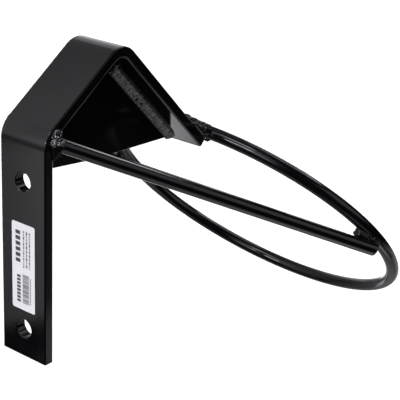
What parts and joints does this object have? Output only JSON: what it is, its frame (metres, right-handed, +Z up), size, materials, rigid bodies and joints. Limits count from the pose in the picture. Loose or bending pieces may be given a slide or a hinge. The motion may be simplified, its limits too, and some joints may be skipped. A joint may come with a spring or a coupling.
{
  "type": "hoop holder bracket",
  "caption": "Bolt-on holder: a bent flat bar with a gusset carries a tilted round hoop, propped by brace rods, that grips a cone or similar tapered load.",
  "frame": {"origin": "on the bar's mounting face, half way between the two bolt holes", "axes": "+Z up along the upright, +X away from the wall or post, towards the hoop; the holder's right is -Y and its left is +Y"},
  "size_m": [0.4403, 0.3352, 0.3309],
  "materials": {
    "black_powder_coat": "semi-gloss black powder coat, slightly orange-peeled",
    "black_coated_weld": "rippled weld bead under the same black coat",
    "white_label": null
  },
  "bodies": {
    "root": {"bracket_bar": "black_powder_coat", "gusset_plate": "black_powder_coat", "hoop_ring": "black_powder_coat", "brace_rod_right": "black_powder_coat", "brace_rod_left": "black_powder_coat", "weld_gusset_drop_right": "black_coated_weld", "weld_gusset_drop_left": "black_coated_weld", "weld_gusset_diagonal_right": "black_coated_weld", "weld_gusset_diagonal_left": "black_coated_weld", "weld_gusset_upright_right": "black_coated_weld", "weld_gusset_upright_left": "black_coated_weld", "weld_hoop_upper": "black_coated_weld", "weld_hoop_lower": "black_coated_weld", "weld_brace_bar_right": "black_coated_weld", "weld_brace_bar_left": "black_coated_weld", "weld_brace_hoop_right": "black_coated_weld", "weld_brace_hoop_left": "black_coated_weld", "label": "white_label"}
  },
  "joints": []
}
